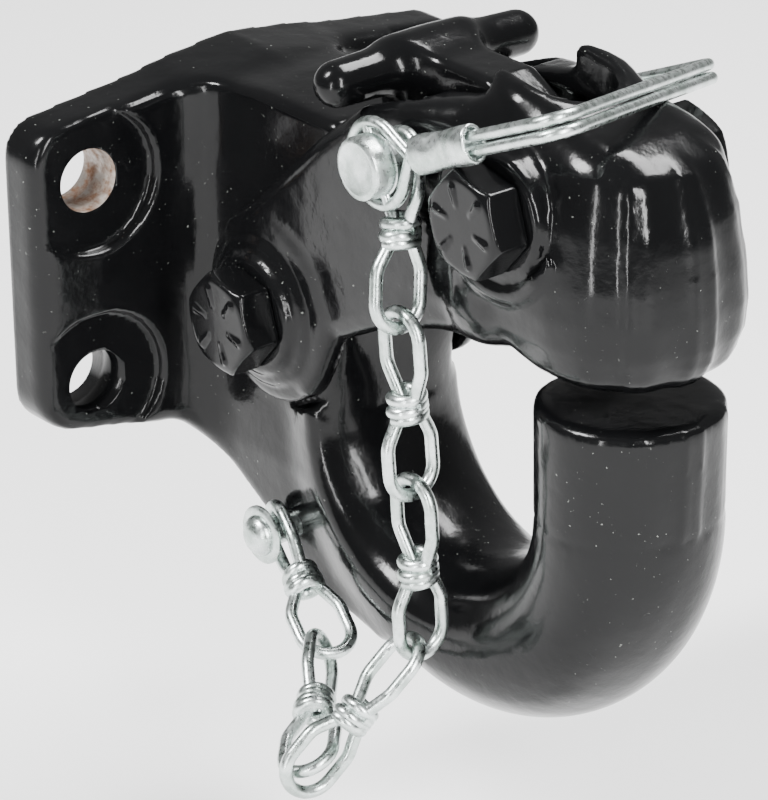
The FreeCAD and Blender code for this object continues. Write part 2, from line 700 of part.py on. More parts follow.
for item in doc.Objects:
    if "Invalid" in item.State or "Error" in item.State:
        raise RuntimeError(f"{item.Name} failed: {item.State}")
os.makedirs("parts", exist_ok=True)
for piece in NODES:
    shape = piece.Shape
    if shape.isNull() or not shape.isValid():
        raise RuntimeError(f"{piece.Label} has no valid shape")
    shape.exportStep(f"parts/{piece.Label}.step")
    print(f"{piece.Label}: {len(shape.Solids)} solid(s), {shape.Volume:.0f} mm3")
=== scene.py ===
"""Looks of the forged pintle hook: painted forgings, hex bolts, safety pin and retaining chain.

Sizes are in millimetres, as in the part's source, and meshes are made in metres.
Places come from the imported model's joints, so each piece sits on the solid it stands for.
"""

import json
import math

import bmesh
import bpy
import numpy as np
from mathutils import Matrix, Vector


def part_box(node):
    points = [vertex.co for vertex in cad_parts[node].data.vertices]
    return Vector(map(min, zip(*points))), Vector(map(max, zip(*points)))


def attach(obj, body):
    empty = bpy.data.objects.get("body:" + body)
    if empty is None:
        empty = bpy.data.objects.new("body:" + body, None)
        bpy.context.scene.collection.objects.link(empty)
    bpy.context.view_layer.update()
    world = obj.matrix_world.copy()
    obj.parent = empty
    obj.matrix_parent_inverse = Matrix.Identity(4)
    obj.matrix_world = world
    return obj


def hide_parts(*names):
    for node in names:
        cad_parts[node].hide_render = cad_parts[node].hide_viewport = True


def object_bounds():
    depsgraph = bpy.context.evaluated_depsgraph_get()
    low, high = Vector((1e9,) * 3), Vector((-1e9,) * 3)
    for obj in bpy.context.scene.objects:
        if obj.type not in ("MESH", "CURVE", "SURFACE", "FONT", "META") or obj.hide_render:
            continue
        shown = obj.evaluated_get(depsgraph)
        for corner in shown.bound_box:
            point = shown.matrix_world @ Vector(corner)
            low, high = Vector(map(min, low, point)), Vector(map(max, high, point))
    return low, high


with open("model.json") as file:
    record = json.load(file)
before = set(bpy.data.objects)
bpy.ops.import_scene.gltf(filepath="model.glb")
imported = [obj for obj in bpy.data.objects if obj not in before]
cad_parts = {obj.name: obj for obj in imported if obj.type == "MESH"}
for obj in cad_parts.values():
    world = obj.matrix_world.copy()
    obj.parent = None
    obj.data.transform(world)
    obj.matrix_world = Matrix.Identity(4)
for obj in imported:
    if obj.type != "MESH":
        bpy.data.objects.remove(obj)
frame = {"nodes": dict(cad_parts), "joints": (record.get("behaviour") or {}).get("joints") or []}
CAD_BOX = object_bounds()
MM = 0.001
JOINTS = {joint["name"]: joint for joint in frame["joints"]}


def joint_place(name):
    """A joint's point in millimetres."""
    return np.array(JOINTS[name]["pos_m"]) / MM


PIVOT = joint_place("latch_pivot")
LOCK = joint_place("lock_pivot")
PIN = joint_place("link_1_swing")

# ---------------------------------------------------------------- sizes

PLATE_HALF = 56.0
PLATE_RIDGE = 41.5
PLATE_SHOULDER = 34.5
PLATE_CORNER = 9.0
PLATE_EDGE_DEPTH = 11.8
PLATE_DEPTH = 14.0
HOLE_WIDE = 85.725 / 2
HOLE_HIGH = 44.45 / 2
HOLE_RADIUS = 6.75
SPOTFACE_RADIUS = 15.3
SPOTFACE_FLOOR = 11.5

LUG_FRONT = 58.0
LUG_HALF = 16.4
BOWL = (92.5, -22.0)
BOWL_SWING = 37.0
BAR_RADIUS = 17.5
BAR_HALF_WIDTH = 19.4
TIP_RADIUS = 18.7
TIP_LEVEL = 2.5
THROAT = (85.5, -21.0)
THROAT_RADIUS = 25.5
THROAT_FLARE = 6.5

CHEEK = 21.5
NOSE_ALONG = 128.7
NOSE_RADIUS = 23.5
FORK_HALF = 17.2
FORK_END = 87.0
SLOT_HALF = 12.0
SLOT_ENDS = (82.0, 127.8)
SLOT_FLOOR = 27.0
SLOT_ROOF = 53.5
COLLAR_ALONG = 110.8
COLLAR_RADIUS = 9.2
EYE_RADIUS = 20.0
BOSS_RADIUS = 12.6
BOSS_REACH = 25.5

HANDLE = (68.3, 54.2)
HANDLE_HALF = 27.0
HANDLE_RADIUS = 4.7
LEVER_HALF = 6.5

SHANK_RADIUS = 6.35
RUNNING_GAP = 0.05
HEX_FLATS = 19.05
HEAD_HEIGHT = 8.0
NUT_HEIGHT = 11.1
BOLT_END = 3.0
JAM_NUT_HEIGHT = 7.9
JAM_NUT_SEAT = 19.5
JAM_BOLT_END = 0.5
THREAD_PITCH = 1.95

PIN_RADIUS = 3.175
PIN_HEAD_RADIUS = 6.35
PIN_HEAD_DEPTH = 7.8
PIN_HEAD_AT = 27.1
PIN_TIP = 32.0
BAIL_WIRE = 1.2
BAIL_HALF_TWIN = 1.35
BAIL_AT = 29.5
BAIL_RISE = math.radians(23.5)
BAIL_START = 13.0
BAIL_NEAR_LEG = 58.5
BAIL_FAR_LEG = 26.5
BAIL_BEND = 5.0
BAIL_EYE = 8.2
FERRULE_LENGTH = 19.0

LINK_WIRE = 2.67
LINK_INSIDE = 35.2
LINK_WIDTH = 13.4
LINK_GAP = 0.4
HANGING_WAYS = [((6, -6.5, -34), 0), ((2.5, 0.5, -35), 0), ((1, 1, -35), 0), ((-5.1, -24.9, -24.3), 9.5)]
CLIMBING_WAYS = [((30.3, -8.3, -15.9), 7.8), ((24.8, -23.4, -8.9), 33.3)]
RIVET = (42.6, -51.5)
RIVET_FACE = 16.5
RIVET_SIDE_PLAY = 2.4
RIVET_DOME = 4.35
WASHER_RADIUS = 6.25
WASHER_DEPTH = 1.2

# ---------------------------------------------------------------- materials


def mix_colour(tree, factor, dark, light):
    """Mix of two colours by a factor socket."""
    mix = tree.nodes.new("ShaderNodeMix")
    mix.data_type = "RGBA"
    tree.links.new(factor, mix.inputs["Factor"])
    mix.inputs["A"].default_value = (*dark, 1)
    mix.inputs["B"].default_value = (*light, 1)
    return mix.outputs["Result"]


def noise(tree, scale, detail=4.0, roughness=0.55, stretch=None):
    """Noise over object coordinates, scale in features per metre."""
    place = tree.nodes.new("ShaderNodeTexCoord").outputs["Object"]
    if stretch:
        mapping = tree.nodes.new("ShaderNodeMapping")
        mapping.inputs["Scale"].default_value = stretch
        tree.links.new(place, mapping.inputs["Vector"])
        place = mapping.outputs["Vector"]
    texture = tree.nodes.new("ShaderNodeTexNoise")
    texture.inputs["Scale"].default_value = scale
    texture.inputs["Detail"].default_value = detail
    texture.inputs["Roughness"].default_value = roughness
    tree.links.new(place, texture.inputs["Vector"])
    return texture.outputs["Fac"]


def ramp(tree, factor, low, high, first=0.0, last=1.0):
    """Linear map of a factor between two places, clamped."""
    reach = tree.nodes.new("ShaderNodeMapRange")
    reach.inputs["From Min"].default_value = low
    reach.inputs["From Max"].default_value = high
    reach.inputs["To Min"].default_value = first
    reach.inputs["To Max"].default_value = last
    tree.links.new(factor, reach.inputs["Value"])
    return reach.outputs["Result"]


def bumps(tree, shader, layers):
    """Chain of bump nodes, each from a height socket, its strength and its depth in metres."""
    normal = None
    for height, strength, depth in layers:
        bump = tree.nodes.new("ShaderNodeBump")
        bump.inputs["Strength"].default_value = strength
        bump.inputs["Distance"].default_value = depth
        tree.links.new(height, bump.inputs["Height"])
        if normal:
            tree.links.new(normal, bump.inputs["Normal"])
        normal = bump.outputs["Normal"]
    tree.links.new(normal, shader.inputs["Normal"])


def new_material(name):
    """Material with an empty principled surface."""
    material = bpy.data.materials.new(name)
    material.use_nodes = True
    tree = material.node_tree
    return material, tree, tree.nodes["Principled BSDF"]


def gloss_paint(name, grain_depth, ripple_depth):
    """Black gloss enamel over metal, with dust in it and the surface under it showing through."""
    material, tree, shader = new_material(name)
    cloud = noise(tree, 60, 3)
    tone = mix_colour(tree, cloud, (0.0015, 0.0015, 0.0018), (0.0042, 0.0044, 0.0046))
    dust = ramp(tree, noise(tree, 1150, 2, 0.5), 0.715, 0.76)
    patch = ramp(tree, noise(tree, 45, 3), 0.42, 0.62)
    both = tree.nodes.new("ShaderNodeMath")
    both.operation = "MULTIPLY"
    tree.links.new(dust, both.inputs[0])
    tree.links.new(patch, both.inputs[1])
    speck = tree.nodes.new("ShaderNodeMix")
    speck.data_type = "RGBA"
    speck.inputs["B"].default_value = (0.16, 0.17, 0.155, 1)
    tree.links.new(both.outputs[0], speck.inputs["Factor"])
    tree.links.new(tone, speck.inputs["A"])
    tree.links.new(speck.outputs["Result"], shader.inputs["Base Color"])
    tree.links.new(ramp(tree, noise(tree, 90, 5), 0.3, 0.7, 0.11, 0.23), shader.inputs["Roughness"])
    shader.inputs["Specular IOR Level"].default_value = 0.15
    shader.inputs["Coat Weight"].default_value = 0.1
    shader.inputs["Coat Roughness"].default_value = 0.05
    bumps(tree, shader, [
        (noise(tree, 70, 2), 0.5, ripple_depth),
        (noise(tree, 620, 3), 0.35, grain_depth),
    ])
    return material


def zinc_plate(name, stretch=None):
    """Bright zinc with a cool passivated tint, dull patches and drawing marks."""
    material, tree, shader = new_material(name)
    cloud = ramp(tree, noise(tree, 240, 4), 0.35, 0.68)
    tint = mix_colour(tree, cloud, (0.40, 0.46, 0.43), (0.74, 0.79, 0.78))
    tree.links.new(tint, shader.inputs["Base Color"])
    shader.inputs["Metallic"].default_value = 1.0
    tree.links.new(ramp(tree, noise(tree, 900, 3), 0.3, 0.7, 0.20, 0.40), shader.inputs["Roughness"])
    bumps(tree, shader, [
        (noise(tree, 500, 3, stretch=stretch), 0.4, 0.00012),
        (noise(tree, 2600, 2), 0.3, 0.00004),
    ])
    return material


def bare_steel(name):
    """Drilled steel with a bloom of rust."""
    material, tree, shader = new_material(name)
    rust = ramp(tree, noise(tree, 420, 5, 0.65), 0.38, 0.64)
    tone = mix_colour(tree, rust, (0.34, 0.31, 0.28), (0.17, 0.085, 0.045))
    tree.links.new(tone, shader.inputs["Base Color"])
    shader.inputs["Metallic"].default_value = 0.65
    tree.links.new(ramp(tree, rust, 0, 1, 0.34, 0.72), shader.inputs["Roughness"])
    bumps(tree, shader, [
        (noise(tree, 900, 4, stretch=(6, 1, 1)), 0.6, 0.00015),
    ])
    return material


def spring_steel(name):
    """Dark oiled wire."""
    material, tree, shader = new_material(name)
    cloud = noise(tree, 500, 3)
    tone = mix_colour(tree, cloud, (0.10, 0.10, 0.11), (0.26, 0.26, 0.28))
    tree.links.new(tone, shader.inputs["Base Color"])
    shader.inputs["Metallic"].default_value = 1.0
    tree.links.new(ramp(tree, cloud, 0.3, 0.7, 0.25, 0.42), shader.inputs["Roughness"])
    bumps(tree, shader, [(noise(tree, 2200, 2), 0.4, 0.00005)])
    return material


FORGING = gloss_paint("enamel_on_forging", 0.00016, 0.0009)
BOLTING = gloss_paint("enamel_on_bolts", 0.00006, 0.0003)
ZINC = zinc_plate("zinc_wire")
ZINC_TURNED = zinc_plate("zinc_turned", stretch=(1, 8, 1))
BARE = bare_steel("bore_steel")
SPRING = spring_steel("oiled_spring_steel")

# ---------------------------------------------------------------- solid shapes as distance fields


def smooth_join(first, second, blend):
    """Union of two distances with a fillet."""
    mixed = np.clip(0.5 + 0.5 * (second - first) / blend, 0, 1)
    return second + (first - second) * mixed - blend * mixed * (1 - mixed)


def smooth_keep(first, second, blend):
    """Shared part of two distances with a rounded edge."""
    return -smooth_join(-first, -second, blend)


def smooth_cut(base, tool, blend):
    """Base less the tool, with a rounded edge."""
    return -smooth_join(-base, tool, blend)


def outline(across, up, corners, radius=0.0):
    """Distance to a closed polygon whose corners are rounded, measured in its own plane."""
    if radius:
        corners = inset(corners, radius)
    grid = np.broadcast(across, up).shape
    nearest = np.full(grid, 1e9)
    inside = np.zeros(grid, bool)
    for (x0, y0), (x1, y1) in zip(corners, corners[1:] + corners[:1]):
        dx, dy = x1 - x0, y1 - y0
        share = np.clip(((across - x0) * dx + (up - y0) * dy) / (dx * dx + dy * dy), 0, 1)
        gap = np.hypot(across - x0 - share * dx, up - y0 - share * dy)
        nearest = np.minimum(nearest, gap)
        if y0 != y1:
            crosses = ((y0 > up) != (y1 > up)) & (across < dx * (up - y0) / dy + x0)
            inside ^= crosses
    return np.where(inside, -nearest, nearest) - radius


def inset(corners, depth):
    """Polygon moved inwards by a depth, for corners listed in either order."""
    ring = [np.array(corner, float) for corner in corners]
    area = sum(a[0] * b[1] - a[1] * b[0] for a, b in zip(ring, ring[1:] + ring[:1]))
    turn = 1 if area > 0 else -1
    moved = []
    for before, here, after in zip(ring[-1:] + ring[:-1], ring, ring[1:] + ring[:1]):
        first = (here - before) / np.linalg.norm(here - before)
        second = (after - here) / np.linalg.norm(after - here)
        way = np.array([-first[1] - second[1], first[0] + second[0]]) * turn
        moved.append(tuple(here + way * depth / max(1 + first @ second, 0.35)))
    return moved


def rod_y(x, y, z, centre, radius, start, end, blend=1.0):
    """Round bar along Y."""
    round_part = np.hypot(x - centre[0], z - centre[1]) - radius
    ends = np.abs(y - (start + end) / 2) - (end - start) / 2
    return smooth_keep(round_part, ends, blend)


def ring_y(x, y, z, centre, level, swing, radius):
    """Ring around the Y direction."""
    return np.hypot(np.hypot(x - centre[0], z - centre[1]) - swing, y - level) - radius


def capsule(x, y, z, start, end, first_radius, last_radius):
    """Round bar with round ends between two points, with a straight taper."""
    start, way = np.array(start, float), np.array(end, float) - np.array(start, float)
    dx, dy, dz = x - start[0], y - start[1], z - start[2]
    share = np.clip((dx * way[0] + dy * way[1] + dz * way[2]) / (way @ way), 0, 1)
    gap = np.sqrt((dx - share * way[0]) ** 2 + (dy - share * way[1]) ** 2 + (dz - share * way[2]) ** 2)
    return gap - (first_radius + (last_radius - first_radius) * share)


def polygonise(name, shape, low, high, step):
    """Mesh of the surface where a distance is zero, with one point in each grid cell it passes."""
    axes = [np.arange(a - 3 * step, b + 4 * step, step) for a, b in zip(low, high)]
    x, y, z = np.meshgrid(*axes, indexing="ij", sparse=True)
    field = np.broadcast_to(shape(x, y, z), [len(axis) for axis in axes]).copy()
    for edge in (0, -1):
        field[edge], field[:, edge], field[:, :, edge] = step, step, step
    inside = field < 0
    count = np.zeros([len(axis) - 1 for axis in axes], np.int8)
    offsets = [(i, j, k) for i in (0, 1) for j in (0, 1) for k in (0, 1)]
    for i, j, k in offsets:
        count += inside[i:i + count.shape[0], j:j + count.shape[1], k:k + count.shape[2]]
    cells = np.argwhere((count > 0) & (count < 8))
    numbers = np.full(count.shape, -1)
    numbers[tuple(cells.T)] = np.arange(len(cells))
    total = np.zeros((len(cells), 3))
    hits = np.zeros(len(cells))
    faces = []
    for axis in range(3):
        along = np.eye(3, dtype=int)[axis]
        others = [np.eye(3, dtype=int)[(axis + 1) % 3], np.eye(3, dtype=int)[(axis + 2) % 3]]
        for i in (0, 1):
            for j in (0, 1):
                offset = others[0] * i + others[1] * j
                near = field[tuple((cells + offset).T)]
                far = field[tuple((cells + offset + along).T)]
                crossed = (near < 0) != (far < 0)
                share = near[crossed] / (near[crossed] - far[crossed])
                total[crossed] += offset + along * share[:, None]
                hits[crossed] += 1
        first = np.moveaxis(inside, axis, 0)
        changes = np.argwhere(first[:-1] != first[1:])
        spots = np.empty_like(changes)
        spots[:, axis] = changes[:, 0]
        rest = [number for number in range(3) if number != axis]
        spots[:, rest[0]] = changes[:, 1]
        spots[:, rest[1]] = changes[:, 2]
        around = [-others[0] - others[1], -others[1], 0 * along, -others[0]]
        quad = np.stack([numbers[tuple((spots + shift).T)] for shift in around], 1)
        leaving = inside[tuple(spots.T)]
        quad[~leaving] = quad[~leaving][:, ::-1]
        faces.append(quad)
    points = (np.array([axis[0] for axis in axes]) + step * (cells + total / hits[:, None])) * MM
    faces = np.concatenate(faces)
    mesh = bpy.data.meshes.new(name)
    mesh.vertices.add(len(points))
    mesh.vertices.foreach_set("co", points.ravel())
    mesh.loops.add(faces.size)
    mesh.loops.foreach_set("vertex_index", faces.ravel())
    mesh.polygons.add(len(faces))
    mesh.polygons.foreach_set("loop_start", np.arange(0, faces.size, 4))
    mesh.polygons.foreach_set("use_smooth", np.ones(len(faces), bool))
    mesh.update()
    mesh.validate()
    piece = bpy.data.objects.new(name, mesh)
    bpy.context.scene.collection.objects.link(piece)
    return piece


# ---------------------------------------------------------------- mesh helpers


def dress(piece, material, body, slot_name, *nodes):
    """Give a finished piece its material and its body, and hide the CAD nodes it stands for."""
    if not piece.data.materials:
        piece.data.materials.append(material)
    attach(piece, body)
    if nodes:
        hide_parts(*nodes)
    return piece


def drill(piece, start, way, radius, length, wall=None):
    """Cut a round hole along a direction, its wall in its own material."""
    mesh = bpy.data.meshes.new("drill")
    shape = bmesh.new()
    bmesh.ops.create_cone(shape, cap_ends=True, segments=96, radius1=radius * MM, radius2=radius * MM,
                          depth=length * MM)
    turn = Vector(way).to_track_quat("Z", "Y").to_matrix().to_4x4()
    middle = (Vector(start) + Vector(way).normalized() * (length / 2)) * MM
    bmesh.ops.transform(shape, matrix=Matrix.Translation(middle) @ turn, verts=shape.verts)
    for face in shape.faces:
        face.smooth = len(face.verts) == 4
    shape.to_mesh(mesh)
    shape.free()
    if wall:
        mesh.materials.append(wall)
    tool = bpy.data.objects.new("drill", mesh)
    bpy.context.scene.collection.objects.link(tool)
    cutting = piece.modifiers.new("drill", "BOOLEAN")
    cutting.operation = "DIFFERENCE"
    cutting.solver = "EXACT"
    cutting.material_mode = "TRANSFER" if wall else "INDEX"
    cutting.object = tool
    bake(piece)
    bpy.data.objects.remove(tool)


def bake(piece):
    """Turn the modified shape into the piece's plain mesh."""
    depsgraph = bpy.context.evaluated_depsgraph_get()
    made = bpy.data.meshes.new_from_object(piece.evaluated_get(depsgraph))
    piece.modifiers.clear()
    old = piece.data
    piece.data = made
    made.name = old.name
    bpy.data.meshes.remove(old)


def lathe(name, profile, centre, segments=96):
    """Turned piece along Y from (radius, place) pairs, with both ends on the axis."""
    shape = bmesh.new()
    rings = []
    for radius, along in profile:
        if radius < 1e-6:
            rings.append([shape.verts.new(np.array([centre[0], along, centre[2]]) * MM)])
            continue
        ring = []
        for step in range(segments):
            angle = 2 * math.pi * step / segments
            ring.append(shape.verts.new(np.array([
                centre[0] + radius * math.cos(angle), along, centre[2] + radius * math.sin(angle)]) * MM))
        rings.append(ring)
    for first, second in zip(rings, rings[1:]):
        for step in range(segments):
            following = (step + 1) % segments
            corners = [first[step % len(first)], first[following % len(first)],
                       second[following % len(second)], second[step % len(second)]]
            corners = list(dict.fromkeys(corners))
            if len(corners) > 2:
                shape.faces.new(corners)
    bmesh.ops.recalc_face_normals(shape, faces=shape.faces)
    mesh = bpy.data.meshes.new(name)
    shape.to_mesh(mesh)
    shape.free()
    mesh.shade_smooth()
    mesh.set_sharp_from_angle(angle=math.radians(32))
    piece = bpy.data.objects.new(name, mesh)
    bpy.context.scene.collection.objects.link(piece)
    return piece


def rounded(points, bend, steps=8):
    """Points of a path whose corners are arcs of one radius."""
    path = [points[0]]
    for before, corner, after in zip(points, points[1:], points[2:]):
        inward = (before - corner) / np.linalg.norm(before - corner)
        onward = (after - corner) / np.linalg.norm(after - corner)
        turn = math.pi - math.acos(np.clip(inward @ onward, -1, 1))
        reach = bend * math.tan(turn / 2)
        middle_way = (inward + onward) / np.linalg.norm(inward + onward)
        centre = corner + middle_way * bend / math.cos(turn / 2)
        first = corner + inward * reach - centre
        last = corner + onward * reach - centre
        for step in range(steps + 1):
            share = step / steps
            arm = first * math.sin((1 - share) * turn) + last * math.sin(share * turn)
            path.append(centre + arm / max(math.sin(turn), 1e-6))
    path.append(points[-1])
    return path


def wire_tree():
    """Geometry nodes: round wire along every path of a curve, with flat capped ends."""
    tree = bpy.data.node_groups.new("round_wire", "GeometryNodeTree")
    face = tree.interface
    face.new_socket("Paths", in_out="INPUT", socket_type="NodeSocketGeometry")
    for name, value in (("Wire radius", 1.0), ("Path step", 0.5)):
        socket = face.new_socket(name, in_out="INPUT", socket_type="NodeSocketFloat")
        socket.default_value = value * MM
    sides = face.new_socket("Sides", in_out="INPUT", socket_type="NodeSocketInt")
    sides.default_value = 16
    face.new_socket("Finish", in_out="INPUT", socket_type="NodeSocketMaterial")
    face.new_socket("Wires", in_out="OUTPUT", socket_type="NodeSocketGeometry")
    start = tree.nodes.new("NodeGroupInput")
    end = tree.nodes.new("NodeGroupOutput")
    spread = tree.nodes.new("GeometryNodeResampleCurve")
    spread.mode = "LENGTH"
    circle = tree.nodes.new("GeometryNodeCurvePrimitiveCircle")
    sweep = tree.nodes.new("GeometryNodeCurveToMesh")
    sweep.inputs["Fill Caps"].default_value = True
    smooth = tree.nodes.new("GeometryNodeSetShadeSmooth")
    finish = tree.nodes.new("GeometryNodeSetMaterial")
    real = tree.nodes.new("GeometryNodeRealizeInstances")
    link = tree.links.new
    link(start.outputs["Paths"], spread.inputs["Curve"])
    link(start.outputs["Path step"], spread.inputs["Length"])
    link(spread.outputs["Curve"], sweep.inputs["Curve"])
    link(start.outputs["Wire radius"], circle.inputs["Radius"])
    link(start.outputs["Sides"], circle.inputs["Resolution"])
    link(circle.outputs["Curve"], sweep.inputs["Profile Curve"])
    link(sweep.outputs["Mesh"], smooth.inputs["Geometry"])
    link(smooth.outputs["Geometry"], real.inputs["Geometry"])
    link(real.outputs["Geometry"], finish.inputs["Geometry"])
    link(start.outputs["Finish"], finish.inputs["Material"])
    link(finish.outputs["Geometry"], end.inputs["Wires"])
    return tree


def wires(name, paths, radius, material, sides=16, step=0.5):
    """One piece of round wire along several paths; a path is (points, closed)."""
    curve = bpy.data.curves.new(name, "CURVE")
    curve.dimensions = "3D"
    for points, closed in paths:
        spline = curve.splines.new("POLY")
        spline.points.add(len(points) - 1)
        for spot, point in zip(spline.points, points):
            spot.co = (*(np.array(point) * MM), 1)
        spline.use_cyclic_u = closed
    piece = bpy.data.objects.new(name, curve)
    bpy.context.scene.collection.objects.link(piece)
    modifier = piece.modifiers.new("wire", "NODES")
    modifier.node_group = WIRE_TREE
    values = {"Wire radius": radius * MM, "Path step": step * MM, "Sides": sides, "Finish": material}
    for socket in WIRE_TREE.interface.items_tree:
        if socket.in_out == "INPUT" and socket.name in values:
            modifier[socket.identifier] = values[socket.name]
    depsgraph = bpy.context.evaluated_depsgraph_get()
    mesh = bpy.data.meshes.new_from_object(piece.evaluated_get(depsgraph))
    bpy.data.objects.remove(piece)
    mesh.name = name
    made = bpy.data.objects.new(name, mesh)
    bpy.context.scene.collection.objects.link(made)
    return made


WIRE_TREE = wire_tree()

# ---------------------------------------------------------------- hook forging


def plate_shape(x, y, z):
    """Mounting plate: a low roof on rounded corners, thicker towards the lug."""
    side = np.abs(y)
    ring = outline(y, z, [
        (-PLATE_HALF, -31.0), (-40.0, -33.5), (-28.0, -36.0), (28.0, -36.0), (40.0, -33.5),
        (PLATE_HALF, -31.0), (PLATE_HALF, PLATE_SHOULDER), (0.0, PLATE_RIDGE), (-PLATE_HALF, PLATE_SHOULDER),
    ], PLATE_CORNER)
    rise = np.clip((PLATE_HALF - side) / 14, 0, 1)
    front = x - (PLATE_EDGE_DEPTH + (PLATE_DEPTH - PLATE_EDGE_DEPTH) * rise)
    return smooth_keep(smooth_keep(ring, front * 0.98, 4.5), -x, 1.2)


def lug_shape(x, y, z):
    """Lug behind the latch and the web that runs down to the bowl."""
    flat = outline(x, z, [
        (-4.0, -34.0), (12.0, -39.5), (34.0, -54.0), (52.0, -66.0), (70.0, -68.0), (84.0, -58.0),
        (60.0, -30.0), (60.0, 2.0), (LUG_FRONT, 12.0), (LUG_FRONT, 41.0), (30.0, 41.0), (-4.0, 39.0),
    ], 2.5)
    half = np.interp(z, [-60, -38, -26, 0, 41], [15.5, 17.4, LUG_HALF, LUG_HALF, LUG_HALF - 1.4])
    return smooth_keep(flat, np.abs(y) - half, 3.0)


def bowl_shape(x, y, z):
    """Bowl and horn: a round bar bent upwards, with shallow flutes down the front of the horn."""
    along, up = x - BOWL[0], z - BOWL[1]
    width = BAR_RADIUS / BAR_HALF_WIDTH
    around = np.hypot(np.hypot(along, up) - BOWL_SWING, y * width) - BAR_RADIUS
    below = smooth_keep(around, up, 0.8)
    share = np.clip(up / (TIP_LEVEL - BOWL[1]), 0, 1)
    out = along - BOWL_SWING
    angle = np.arctan2(y, out)
    flute = 0.35 * flutes(angle) * np.clip((out + 4) / 8, 0, 1)
    radius = BAR_RADIUS + (TIP_RADIUS - BAR_RADIUS) * share + flute
    squash = width + (1 - width) * share
    horn = np.hypot(out, y * squash) - radius
    horn = smooth_keep(horn, np.maximum(-up - 0.5, z - TIP_LEVEL), 2.4)
    rear = smooth_keep(np.hypot(along + BOWL_SWING + 1.5, y * width) - BAR_RADIUS,
                       np.maximum(-up - 0.5, z - 4), 6.0)
    return smooth_join(smooth_join(below, horn, 0.9), rear, 2.0)


def flutes(angle):
    """Forged ridges down the front: a fine wave and four seams, which fade towards the sides."""
    wave = np.cos(angle * 11.0)
    seam = np.exp(-((np.abs(angle) - 0.1) / 0.035) ** 2) + np.exp(-((np.abs(angle) - 0.72) / 0.05) ** 2)
    return (0.55 * wave + 0.9 * seam) * np.clip(1.5 - np.abs(angle), 0, 1)


def hook_shape(x, y, z):
    """Whole hook forging without its drilled holes."""
    plate = plate_shape(x, y, z)
    lug = lug_shape(x, y, z)
    body = smooth_join(plate, lug, 11.0)
    body = smooth_join(body, bowl_shape(x, y, z), 5.0)
    slope = (PLATE_RIDGE - PLATE_SHOULDER) / PLATE_HALF * np.clip((34 - x) / 14, 0, 1)
    body = smooth_keep(body, z - PLATE_RIDGE + slope * np.abs(y), 2.0)
    body = smooth_keep(body, -x, 1.0)
    clearance = rod_y(x, np.abs(y), z, (PIVOT[0], PIVOT[2]), EYE_RADIUS + 1.4, LUG_HALF + 0.3, 40, 0.6)
    body = smooth_cut(body, clearance, 0.6)
    throat_radius = THROAT_RADIUS + THROAT_FLARE * np.minimum(np.abs(y) / BAR_HALF_WIDTH, 1) ** 2.2
    throat = np.hypot(x - THROAT[0], z - THROAT[1]) - throat_radius
    body = smooth_cut(body, throat, 3.0)
    mouth = np.maximum(np.abs(x - THROAT[0]) - THROAT_RADIUS, THROAT[1] - z)
    body = smooth_cut(body, mouth, 3.0)
    for wide in (-HOLE_WIDE, HOLE_WIDE):
        for high in (-HOLE_HIGH, HOLE_HIGH):
            off = np.hypot(y - wide, z - high)
            face = np.maximum(off - SPOTFACE_RADIUS, SPOTFACE_FLOOR - x)
            body = smooth_cut(body, face, 0.9)
    return body


def hook_forging():
    """Plate, lug, bowl and horn in one piece."""
    low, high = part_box("hook_body")
    piece = polygonise("hook_forging", hook_shape, np.array(low) / MM, np.array(high) / MM, 1.0)
    piece.data.materials.append(FORGING)
    for wide in (-HOLE_WIDE, HOLE_WIDE):
        for high_side in (-HOLE_HIGH, HOLE_HIGH):
            wall = BARE if high_side > 0 else FORGING
            drill(piece, (-5, wide, high_side), (1, 0, 0), HOLE_RADIUS, 30, wall)
    drill(piece, (PIVOT[0], -40, PIVOT[2]), (0, 1, 0), SHANK_RADIUS + RUNNING_GAP, 80, BARE)
    dress(piece, FORGING, "hook", "forging_paint", "hook_body")


# ---------------------------------------------------------------- latch forging

DOME_LEVELS = [9.5, 13.0, 19.0, 25.0, 32.0, 43.0, 53.0, 59.0, 66.9]
DOME_HALVES = [17.4, 19.6, 21.8, 22.4, 21.9, 20.3, 17.4, 14.2, 10.5]


